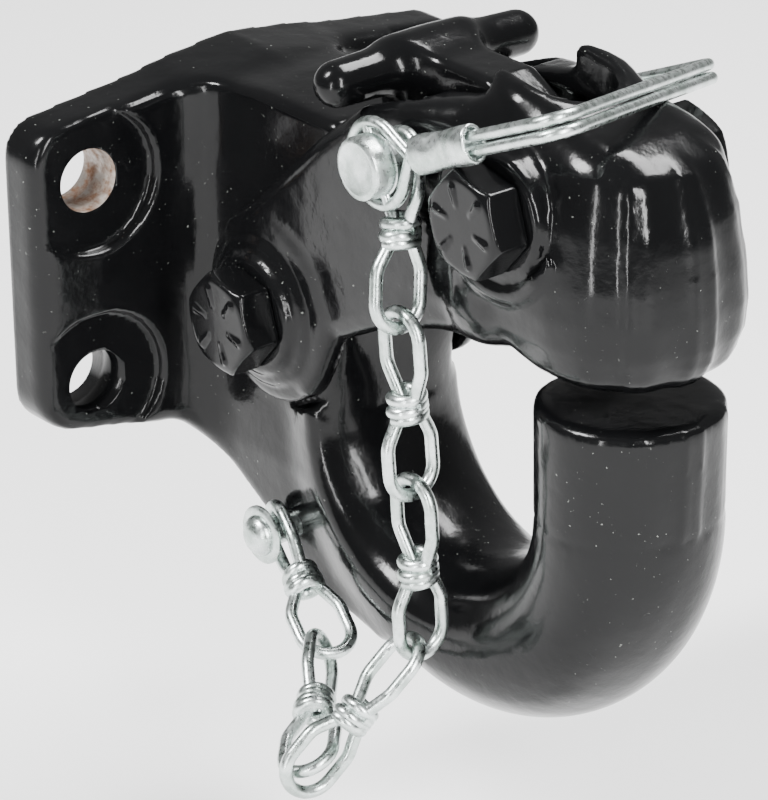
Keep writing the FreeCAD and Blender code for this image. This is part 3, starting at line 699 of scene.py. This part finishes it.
def latch_shape(x, y, z):
    """Forked arm, pivot eyes, nose and the collar round the lock's slot."""
    side = np.abs(y)
    flat = outline(x, z, [
        (54.3, -17.4), (64.0, -2.4), (81.0, 6.2), (94.0, 9.2), (105.0, 10.2), (113.5, 12.6),
        (117.2, 12.0), (124.0, 9.6), (146.0, 9.6), (152.0, 18.0), (152.0, 32.0), (148.7, 45.0),
        (141.7, 52.0), (131.7, 55.5), (120.7, 57.8), (112.0, 60.5), (100.0, 58.5),
        (84.0, 54.6), (72.0, 50.0), (57.5, 39.0), (28.2, 12.7),
    ], 1.5)
    dome = np.interp(z, DOME_LEVELS, DOME_HALVES)
    ahead_share = np.clip((x - 86) / 18, 0, 1)
    half = CHEEK + (np.minimum(dome, CHEEK) - CHEEK) * ahead_share
    arm = smooth_keep(smooth_keep(flat, side - half, 4.5), x - 112.0, 6.0)

    ahead = x - NOSE_ALONG
    angle = np.arctan2(y, ahead)
    round_nose = np.hypot(np.maximum(ahead, 0), y) - dome
    fade = np.clip((ahead + 6) / 10, 0, 1)
    round_nose = (round_nose - 0.85 * flutes(angle) * fade) * 0.9
    nose_side = outline(x, z, [
        (101.0, 12.0), (110.0, 12.4), (116.5, 12.4), (123.5, 9.4), (147.0, 9.4), (152.4, 14.0),
        (152.4, 40.0), (147.0, 53.0), (136.0, 57.0), (122.0, 60.0), (112.0, 63.0), (101.0, 61.0),
    ], 3.5)
    nose = smooth_keep(nose_side, round_nose, 5.0)
    nose = smooth_keep(nose, 101.0 - x, 6.0)
    body = smooth_join(arm, nose, 5.0)

    eye = rod_y(x, y, z, (PIVOT[0], PIVOT[2]), EYE_RADIUS, -CHEEK, CHEEK, 3.5)
    step = rod_y(x, y, z, (PIVOT[0], PIVOT[2]), 15.6, -CHEEK - 2.0, CHEEK + 2.0, 1.4)
    boss = rod_y(x, y, z, (PIVOT[0], PIVOT[2]), BOSS_RADIUS, -BOSS_REACH, BOSS_REACH, 1.2)
    body = smooth_join(body, eye, 3.0)
    body = smooth_join(smooth_join(body, step, 1.2), boss, 1.5)

    tilt = z - 60.2 + (x - COLLAR_ALONG) * 0.3
    behind = np.clip(COLLAR_ALONG - 7.5 - x, 0, 9) * 0.5
    collar = np.hypot(np.hypot(x - COLLAR_ALONG, y) - COLLAR_RADIUS - 1.9, tilt) - 2.6 + behind
    body = smooth_join(body, collar, 4.0)

    toward = np.arctan2(z - LOCK[2], x - LOCK[0])
    open_side = np.clip(np.cos(toward - 0.9), 0, 1) * 4
    crescent = ring_y(x, side, z, (LOCK[0], LOCK[2]), CHEEK + 0.9, 15.2, 1.9) + open_side
    body = smooth_join(body, crescent, 2.0)
    seat = rod_y(x, side, z, (LOCK[0], LOCK[2]), 13.4, NOSE_RADIUS - 0.1, 40, 0.5)
    body = smooth_cut(body, seat, 0.7)
    pad = rod_y(x, y, z, (LOCK[0], LOCK[2]), BOSS_RADIUS, -NOSE_RADIUS, JAM_NUT_SEAT, 0.8)
    body = smooth_join(body, pad, 1.2)

    fork = np.maximum(side - FORK_HALF, x - FORK_END)
    body = smooth_cut(body, fork, 0.8)
    slot = np.maximum(np.abs(x - (SLOT_ENDS[0] + SLOT_ENDS[1]) / 2) - (SLOT_ENDS[1] - SLOT_ENDS[0]) / 2,
                      side - SLOT_HALF)
    slot = np.maximum(slot, np.maximum(SLOT_FLOOR - z, z - SLOT_ROOF))
    body = smooth_cut(body, slot, 0.8)
    neck = np.hypot(np.maximum(x - COLLAR_ALONG, 0), y) - COLLAR_RADIUS
    neck = np.maximum(np.maximum(neck, SLOT_ENDS[0] - x), SLOT_FLOOR - z)
    body = smooth_cut(body, neck, 1.6)
    nut_room = rod_y(x, y, z, (LOCK[0], LOCK[2]), BOSS_RADIUS, JAM_NUT_SEAT, 2 * NOSE_RADIUS, 0.2)
    body = smooth_cut(body, nut_room, 0.8)
    return body


def latch_forging():
    """Latch with its three cross bores."""
    low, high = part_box("latch_jaw")
    piece = polygonise("latch_forging", latch_shape, np.array(low) / MM, np.array(high) / MM, 1.0)
    piece.data.materials.append(FORGING)
    bolt_bore = SHANK_RADIUS + RUNNING_GAP
    for centre, radius in ((PIVOT, bolt_bore), (LOCK, bolt_bore), (PIN, PIN_RADIUS + 2 * RUNNING_GAP)):
        drill(piece, (centre[0], -40, centre[2]), (0, 1, 0), radius, 80, BARE)
    dress(piece, FORGING, "latch", "forging_paint", "latch_jaw")


# ---------------------------------------------------------------- lock handle


def lock_shape(x, y, z):
    """Lever with its eye on the lock bolt, a heel before the lug and a T-bar to grip."""
    lever = outline(x, z, [
        (60.9, 39.0), (67.9, 39.0), (76.3, 50.2), (96.0, 50.2), (105.0, 35.9), (117.0, 32.6),
        (117.0, 50.8), (110.0, 50.8), (94.0, 58.6), (70.0, 58.6), (60.9, 52.6),
    ], 1.2)
    lever = smooth_keep(lever, np.abs(y) - LEVER_HALF, 2.5)
    eye = rod_y(x, y, z, (LOCK[0], LOCK[2]), 9.8, -11.2, 5.5, 1.2)
    bar = capsule(x, np.abs(y), z, (HANDLE[0], 0, HANDLE[1] + 0.4), (HANDLE[0], HANDLE_HALF - 4.6, HANDLE[1]),
                  5.2, HANDLE_RADIUS)
    body = smooth_join(smooth_join(lever, eye, 3.0), bar, 9.0)
    room = rod_y(x, y, z, (LOCK[0], LOCK[2]), 11.0, 5.7, 20, 0.3)
    return smooth_cut(body, room, 0.4)


def lock_lever():
    """Lock handle with its bore."""
    low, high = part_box("lock_handle")
    piece = polygonise("lock_lever", lock_shape, np.array(low) / MM, np.array(high) / MM, 0.7)
    piece.data.materials.append(FORGING)
    drill(piece, (LOCK[0], -30, LOCK[2]), (0, 1, 0), SHANK_RADIUS + RUNNING_GAP, 60, BARE)
    dress(piece, FORGING, "lock", "forging_paint", "lock_handle")


# ---------------------------------------------------------------- bolts and nuts


def hex_distance(x, z, flats, turn):
    """Distance to a hexagon's sides."""
    worst = None
    for number in range(3):
        angle = turn + math.pi / 3 * number
        side = np.abs(x * math.cos(angle) + z * math.sin(angle)) - flats / 2
        worst = side if worst is None else np.maximum(worst, side)
    return worst


def thread_radius(x, y, z, crest):
    """Radius of a screw thread at each place."""
    turns = y / THREAD_PITCH - np.arctan2(z, x) / (2 * math.pi)
    return crest - 1.0 * np.abs(2 * (turns - np.floor(turns)) - 1)


def bolt_shape(centre, bearing, nut_seat, nut_height, bolt_end):
    """Hex bolt along Y, head on the right: chamfered, with six raised marks on the head."""
    def shape(x, y, z):
        x, z = x - centre[0], z - centre[2]
        off = np.hypot(x, z)
        top = -bearing - HEAD_HEIGHT
        turn = math.pi / 6 * 0.6
        head = smooth_keep(hex_distance(x, z, HEX_FLATS, turn), np.abs(y + bearing + HEAD_HEIGHT / 2)
                           - HEAD_HEIGHT / 2, 0.5)
        chamfer = (off - HEX_FLATS / 2 + 0.2) * 0.5 + (top + 0.1 - y) * 0.87
        head = smooth_keep(head, chamfer, 0.4)
        marks = np.full(head.shape, 1e9)
        for number in range(6):
            angle = turn + math.pi / 3 * number + math.pi / 6
            start = (4.2 * math.cos(angle), top + 0.1, 4.2 * math.sin(angle))
            end = (7.6 * math.cos(angle), top + 0.1, 7.6 * math.sin(angle))
            marks = np.minimum(marks, capsule(x, y, z, start, end, 0.35, 0.75))
        head = smooth_join(head, marks, 0.5)
        washer = rod_y(x, y, z, (0, 0), HEX_FLATS / 2 - 0.2, -bearing - 0.6, -bearing, 0.1)
        head = smooth_join(head, washer, 0.1)
        end = nut_seat + nut_height + bolt_end
        thread = np.maximum(off - thread_radius(x, y, z, SHANK_RADIUS - 0.05), nut_seat - 2 - y)
        plain = np.maximum(off - SHANK_RADIUS, y - nut_seat + 2)
        shank = np.maximum(np.minimum(thread, plain), np.maximum(y - end, -bearing - 1 - y))
        shank = smooth_keep(shank, (off - SHANK_RADIUS + 1.2) * 0.7 + (y - end) * 0.7, 0.3)
        return np.minimum(head, shank)
    return shape


def nut_shape(centre, _, nut_seat, nut_height, __):
    """Hex nut chamfered on both faces."""
    def shape(x, y, z):
        x, z = x - centre[0], z - centre[2]
        off = np.hypot(x, z)
        beyond = np.abs(y - nut_seat - nut_height / 2) - nut_height / 2
        nut = smooth_keep(hex_distance(x, z, HEX_FLATS, 0.2), beyond, 0.4)
        chamfer = (off - HEX_FLATS / 2) * 0.5 + (beyond + 0.1) * 0.87
        nut = smooth_keep(nut, chamfer, 0.4)
        mouth = off - SHANK_RADIUS - 0.1 - np.clip(beyond + 0.8, 0, 1)
        return smooth_cut(nut, mouth, 0.2)
    return shape


def pivot_bolts():
    """Both half-inch bolts with their nuts."""
    stacks = {
        "latch_pivot": (PIVOT, BOSS_REACH, BOSS_REACH, NUT_HEIGHT, BOLT_END),
        "lock_pivot": (LOCK, NOSE_RADIUS, JAM_NUT_SEAT, JAM_NUT_HEIGHT, JAM_BOLT_END),
    }
    for (place, stack), body in zip(stacks.items(), ("hook", "latch")):
        for part, maker in (("bolt", bolt_shape), ("nut", nut_shape)):
            low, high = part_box(f"{place}_{part}")
            piece = polygonise(f"{place}_hex_{part}", maker(*stack),
                               np.array(low) / MM, np.array(high) / MM, 0.42)
            dress(piece, BOLTING, body, "bolt_paint", f"{place}_{part}")


# ---------------------------------------------------------------- safety pin and bail


def safety_pin():
    """Turned pin with a chamfered head and a bullet tip."""
    outer = -PIN_HEAD_AT - PIN_HEAD_DEPTH
    edge = 0.9
    profile = [
        (0, outer + 0.15), (4.6, outer + 0.15), (5.0, outer), (PIN_HEAD_RADIUS - edge, outer),
        (PIN_HEAD_RADIUS - 0.25, outer + 0.3), (PIN_HEAD_RADIUS, outer + edge),
        (PIN_HEAD_RADIUS, -PIN_HEAD_AT - 3.5), (PIN_HEAD_RADIUS - 0.35, -PIN_HEAD_AT - 3.3),
        (PIN_HEAD_RADIUS - 0.35, -PIN_HEAD_AT - 2.9), (PIN_HEAD_RADIUS, -PIN_HEAD_AT - 2.7),
        (PIN_HEAD_RADIUS, -PIN_HEAD_AT - 0.4), (PIN_HEAD_RADIUS - 0.4, -PIN_HEAD_AT),
        (PIN_RADIUS + 0.4, -PIN_HEAD_AT), (PIN_RADIUS, -PIN_HEAD_AT + 0.4),
        (PIN_RADIUS, PIN_TIP - 2.0), (PIN_RADIUS - 0.5, PIN_TIP - 0.8),
        (PIN_RADIUS - 1.4, PIN_TIP), (0, PIN_TIP),
    ]
    piece = lathe("pin_turning", profile, PIN)
    piece.data.materials.append(ZINC_TURNED)
    _, across = bail_ways()
    start = np.array([PIN[0], -BAIL_AT, PIN[2]]) - across * 12
    drill(piece, tuple(start), tuple(across), BAIL_WIRE + 0.06, 24, ZINC_TURNED)
    dress(piece, ZINC_TURNED, "pin", "zinc", "safety_pin")


def bail_ways():
    """Direction of the bail's legs and the direction across its twin wires."""
    onward = np.array([math.cos(BAIL_RISE), 0, math.sin(BAIL_RISE)])
    across = np.array([-math.sin(BAIL_RISE), 0, math.cos(BAIL_RISE)])
    return onward, across


def pin_bail():
    """Twin wire from an eye round the pin's head, over the nose and back to the pin's tip."""
    onward, across = bail_ways()
    near = np.array([PIN[0], -BAIL_AT, PIN[2]])
    far = np.array([PIN[0], PIN_TIP + BAIL_WIRE + 2 * LINK_GAP, PIN[2]])
    tip = far - onward * (PIN_RADIUS + 0.4)
    paths = []
    for side in (-1, 1):
        shift = across * (side * BAIL_HALF_TWIN)
        legs = [near + onward * BAIL_START + shift, near + onward * BAIL_NEAR_LEG + shift,
                far + onward * BAIL_FAR_LEG + shift, tip + shift]
        path = rounded(legs, BAIL_BEND)
        eye = []
        for step in range(25):
            angle = math.pi - side * (math.pi - 0.62) * (1 - step / 24)
            eye.append(near + onward * (BAIL_EYE * math.cos(angle)) - across * (BAIL_EYE * math.sin(angle)))
        merge = near + onward * (BAIL_START - 1.0) + shift
        paths.append((eye[::-1] + [merge] + path, False))
    end = [tip + across * (BAIL_HALF_TWIN * math.cos(angle)) - onward * (BAIL_HALF_TWIN * math.sin(angle))
           for angle in np.linspace(0, math.pi, 13)]
    paths.append((end, False))
    paths.append(([near - across * BAIL_EYE, near + across * BAIL_EYE], False))
    piece = wires("bail_twin_wire", paths, BAIL_WIRE, ZINC, step=0.6)
    dress(piece, ZINC, "bail", "zinc", "pin_bail_wire")


def bail_sleeve():
    """Ferrule pressed flat over the twin wires, flared where it was crimped."""
    onward, across = bail_ways()
    middle = np.array([PIN[0], -BAIL_AT, PIN[2]]) + onward * (BAIL_START + FERRULE_LENGTH / 2)

    def shape(x, y, z):
        along = (x - middle[0]) * onward[0] + (z - middle[2]) * onward[2]
        wide = (x - middle[0]) * across[0] + (z - middle[2]) * across[2]
        deep = y - middle[1]
        pinch = np.cos(np.clip(along / 6.2, -1, 1) * math.pi) * 0.5 + 0.5
        half_wide = 3.9 - 0.25 * pinch
        half_deep = 2.95 - 0.85 * pinch
        round_part = (np.sqrt((wide / half_wide) ** 2 + (deep / half_deep) ** 2) - 1) * half_deep
        tube = smooth_keep(round_part, np.abs(along) - FERRULE_LENGTH / 2 + 0.3, 0.5)
        hollow = np.sqrt((wide / 3.1) ** 2 + (deep / 1.9) ** 2) * 1.9 - 1.9
        mouth = np.maximum(hollow, FERRULE_LENGTH / 2 - 2.0 - np.abs(along))
        return smooth_cut(tube, mouth, 0.25)

    low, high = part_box("bail_ferrule")
    piece = polygonise("crimped_ferrule", shape, np.array(low) / MM, np.array(high) / MM, 0.3)
    dress(piece, ZINC, "bail", "zinc", "bail_ferrule")


# ---------------------------------------------------------------- chain


def link_paths():
    """Paths of one link along -Z: two loops at right angles, each end wound round the other's neck."""
    wire = LINK_WIRE / 2
    bend = LINK_WIDTH / 2 - wire
    reach = LINK_INSIDE / 2 + wire
    shoulder = 2.7 + bend * 0.9
    paths = []
    for up, side in ((1, np.array([1.0, 0, 0])), (-1, np.array([0, 1.0, 0]))):
        axis = np.array([0, 0, float(up)])
        front = np.cross(axis, side)
        centre = axis * (reach - bend)
        loop = [side * bend * math.cos(angle) + axis * bend * math.sin(angle) + centre
                for angle in np.linspace(0, math.pi, 21)]
        foot = side * wire * 0.75 - axis * 2.2
        left_foot = -side * wire * 0.75 + axis * 0.4
        path = rounded([foot, side * bend + axis * shoulder, loop[0]], 5.0, 5) + loop[1:-1]
        path += rounded([loop[-1], -side * bend + axis * shoulder, left_foot], 5.0, 5)
        paths.append((path, False))
        coil = []
        for step in range(37):
            angle = 2 * math.pi * 1.5 * step / 36
            winding = 2.9 + 0.15 * math.sin(angle)
            coil.append(side * winding * math.cos(angle) * 1.05 + front * winding * math.sin(angle) * 0.92
                        + axis * (0.35 + 2.05 * step / 36))
        paths.append((coil, False))
    return paths


def place_link(number, start, way, twist, wire_way):
    """Make one link whose first loop rounds a wire at start, and say where its second loop ends."""
    down = way / np.linalg.norm(way)
    normal = wire_way - down * (wire_way @ down)
    normal = normal / np.linalg.norm(normal)
    normal = normal * math.cos(math.radians(twist)) + np.cross(down, normal) * math.sin(math.radians(twist))
    side = np.cross(normal, -down)
    centre = start + down * LINK_INSIDE / 2
    turn = np.stack([side, normal, -down], 1)
    paths = [([centre + turn @ point for point in points], closed) for points, closed in link_paths()]
    piece = wires(f"knotted_link_{number}", paths, LINK_WIRE / 2, ZINC, sides=18, step=0.45)
    dress(piece, ZINC, f"link_{number}", "zinc", f"chain_link_{number}")
    inner = LINK_WIDTH / 2 - LINK_WIRE
    return start + down * (LINK_INSIDE - inner), side, inner


def chain_run(numbers, start, ways):
    """Links in a row, each rounding the arc that ends the one before it."""
    wire_way = np.array([0, 1.0, 0])
    ways = [(np.array(way, float), twist) for way, twist in ways]
    for number, (way, twist), (onward, _) in zip(numbers, ways, ways[1:] + ways[-1:]):
        arc, side, inner = place_link(number, start, way, twist, wire_way)
        pull = onward / np.linalg.norm(onward)
        reach = pull - side * (pull @ side)
        reach = reach / np.linalg.norm(reach)
        start = arc + reach * inner - pull * LINK_GAP
        wire_way = np.cross(side, reach)


def chain():
    """Four links hang from the pin and two climb to the rivet."""
    pin_top = np.array([PIN[0], -CHEEK - 2 * LINK_GAP - LINK_WIRE / 2, PIN[2] + PIN_RADIUS + LINK_GAP])
    chain_run((1, 2, 3, 4), pin_top, HANGING_WAYS)
    rivet = np.array([RIVET[0], -RIVET_FACE - RIVET_SIDE_PLAY - LINK_WIRE / 2, RIVET[1]])
    behind = np.array(CLIMBING_WAYS[0][0], float)
    behind = behind / np.linalg.norm(behind) * (3 + LINK_GAP)
    chain_run((6, 5), rivet - behind, CLIMBING_WAYS)


def chain_rivet():
    """Domed rivet and the cupped washer under its head."""
    washer_back = -RIVET_FACE - LINK_WIRE - 2 * RIVET_SIDE_PLAY
    seat = washer_back - WASHER_DEPTH
    dome = [(RIVET_DOME * math.sin(angle), seat - 0.62 * RIVET_DOME * math.cos(angle))
            for angle in np.linspace(0, math.pi / 2, 14)]
    profile = [(0.0, dome[0][1]), *dome[1:], (3.0, seat), (3.0, 16.6), (4.3, 16.6), (4.3, 17.6), (3.4, 18.5),
               (0, 18.5)]
    centre = (RIVET[0], 0, RIVET[1])
    dress(lathe("rivet_turning", profile, centre), ZINC_TURNED, "hook", "zinc", "chain_rivet")
    ring = [(3.05, washer_back), (WASHER_RADIUS - 0.6, washer_back), (WASHER_RADIUS, washer_back - 0.25),
            (WASHER_RADIUS, washer_back - 0.75), (WASHER_RADIUS - 0.5, seat + 0.1), (4.6, seat), (3.05, seat),
            (3.05, washer_back)]
    dress(lathe("washer_pressing", ring, centre), ZINC, "hook", "zinc", "rivet_washer")


# ---------------------------------------------------------------- camera, light and floor


def camera():
    """Camera a metre off, to the right of the hook and above it."""
    azimuth, elevation, roll = math.radians(37.89), math.radians(24.26), math.radians(-0.88)
    distance = 1000.0
    aim_right, aim_up = 33.0, -39.1
    toward = Vector((math.cos(azimuth) * math.cos(elevation), -math.sin(azimuth) * math.cos(elevation),
                     math.sin(elevation)))
    right = Vector((math.sin(azimuth), math.cos(azimuth), 0))
    up = toward.cross(right)
    tilted_right = right * math.cos(roll) + up * math.sin(roll)
    tilted_up = up * math.cos(roll) - right * math.sin(roll)
    target = tilted_right * aim_right + tilted_up * aim_up
    data = bpy.data.cameras.new("camera")
    data.lens = 213.26
    data.sensor_width = 36.0
    made = bpy.data.objects.new("camera", data)
    turn = Matrix((tilted_right, tilted_up, toward)).transposed().to_4x4()
    made.matrix_world = Matrix.Translation((target + toward * distance) * MM) @ turn
    bpy.context.scene.collection.objects.link(made)
    bpy.context.scene.camera = made


def softbox(name, place, aim, width, height, power):
    """Rectangular lamp at a place in millimetres, facing a point."""
    data = bpy.data.lights.new(name, "AREA")
    data.shape = "RECTANGLE"
    data.size, data.size_y = width * MM, height * MM
    data.energy = power
    made = bpy.data.objects.new(name, data)
    made.location = Vector(place) * MM
    made.rotation_euler = (Vector(aim) - Vector(place)).to_track_quat("-Z", "Y").to_euler()
    bpy.context.scene.collection.objects.link(made)


def studio():
    """Pale floor, pale surround and four softboxes."""
    low, _ = CAD_BOX
    mesh = bpy.data.meshes.new("floor")
    shape = bmesh.new()
    bmesh.ops.create_grid(shape, x_segments=8, y_segments=8, size=6.0)
    bmesh.ops.translate(shape, vec=(0, 0, low.z - 0.045), verts=shape.verts)
    shape.to_mesh(mesh)
    shape.free()
    floor = bpy.data.objects.new("floor", mesh)
    material, tree, shader = new_material("pale_floor")
    tree.links.new(mix_colour(tree, noise(tree, 3, 2), (0.93, 0.93, 0.93), (0.95, 0.95, 0.95)),
                   shader.inputs["Base Color"])
    shader.inputs["Roughness"].default_value = 0.9
    mesh.materials.append(material)
    bpy.context.scene.collection.objects.link(floor)

    world = bpy.data.worlds.new("surround")
    world.use_nodes = True
    backdrop = world.node_tree.nodes["Background"]
    backdrop.inputs["Color"].default_value = (1, 1, 1, 1)
    backdrop.inputs["Strength"].default_value = 0.3
    bpy.context.scene.world = world

    centre = (75, 0, 0)
    softbox("key", (-250, -700, 900), centre, 260, 360, 26)
    softbox("front", (900, -250, 420), centre, 120, 700, 14)
    softbox("side", (500, -1000, 150), centre, 90, 700, 7)
    softbox("top", (100, 500, 1000), centre, 700, 300, 26)


# ---------------------------------------------------------------- making it all

camera()
hook_forging()
latch_forging()
lock_lever()
pivot_bolts()
safety_pin()
pin_bail()
bail_sleeve()
chain()
chain_rivet()
spring = frame["nodes"]["lock_spring"]
spring.data.materials.clear()
spring.data.materials.append(SPRING)
studio()
